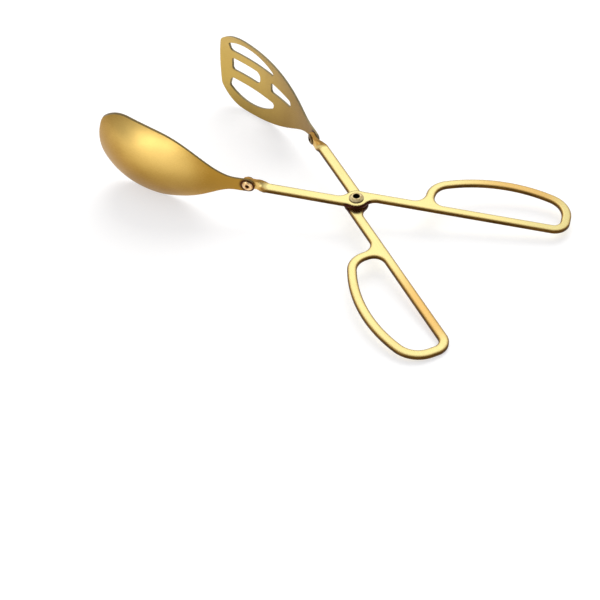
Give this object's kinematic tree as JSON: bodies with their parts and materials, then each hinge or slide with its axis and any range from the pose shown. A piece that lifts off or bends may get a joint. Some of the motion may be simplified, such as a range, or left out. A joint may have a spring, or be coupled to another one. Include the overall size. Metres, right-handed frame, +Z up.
{
  "type": "scissor serving tongs",
  "caption": "Hinged scissor tongs on crossed flat-bar arms: a solid spoon faces a slotted blade, worked through long finger loops.",
  "frame": {"origin": "middle of the footprint of the open tongs, on the table that they lie on", "axes": "+X towards the finger loops, along the line midway between the two arms; +Z up from the table; the spoon is on the -Y side"},
  "size_m": [0.2404, 0.1344, 0.0484],
  "materials": {
    "arm_metal": "polished gold-coloured stainless steel",
    "spoon_metal": "satin gold-coloured stainless steel",
    "slotted_metal": "satin gold-coloured stainless steel, duller than the spoon",
    "rivet_metal": "dull gold-coloured rivets"
  },
  "bodies": {
    "spoon_side": {"spoon_arm": "arm_metal", "spoon_head": "spoon_metal", "spoon_rivet": "rivet_metal", "pivot_rivet": "rivet_metal", "pivot_washer": "rivet_metal"},
    "slotted_side": {"slotted_arm": "arm_metal", "slotted_head": "slotted_metal", "slotted_rivet": "rivet_metal"}
  },
  "joints": [
    {"name": "pivot", "type": "hinge", "parent": "spoon_side", "child": "slotted_side", "pos_m": [0.02443, 0, 0.01295], "axis": [0.107, 0, 0.9943], "range_deg": [-85, 35]}
  ]
}
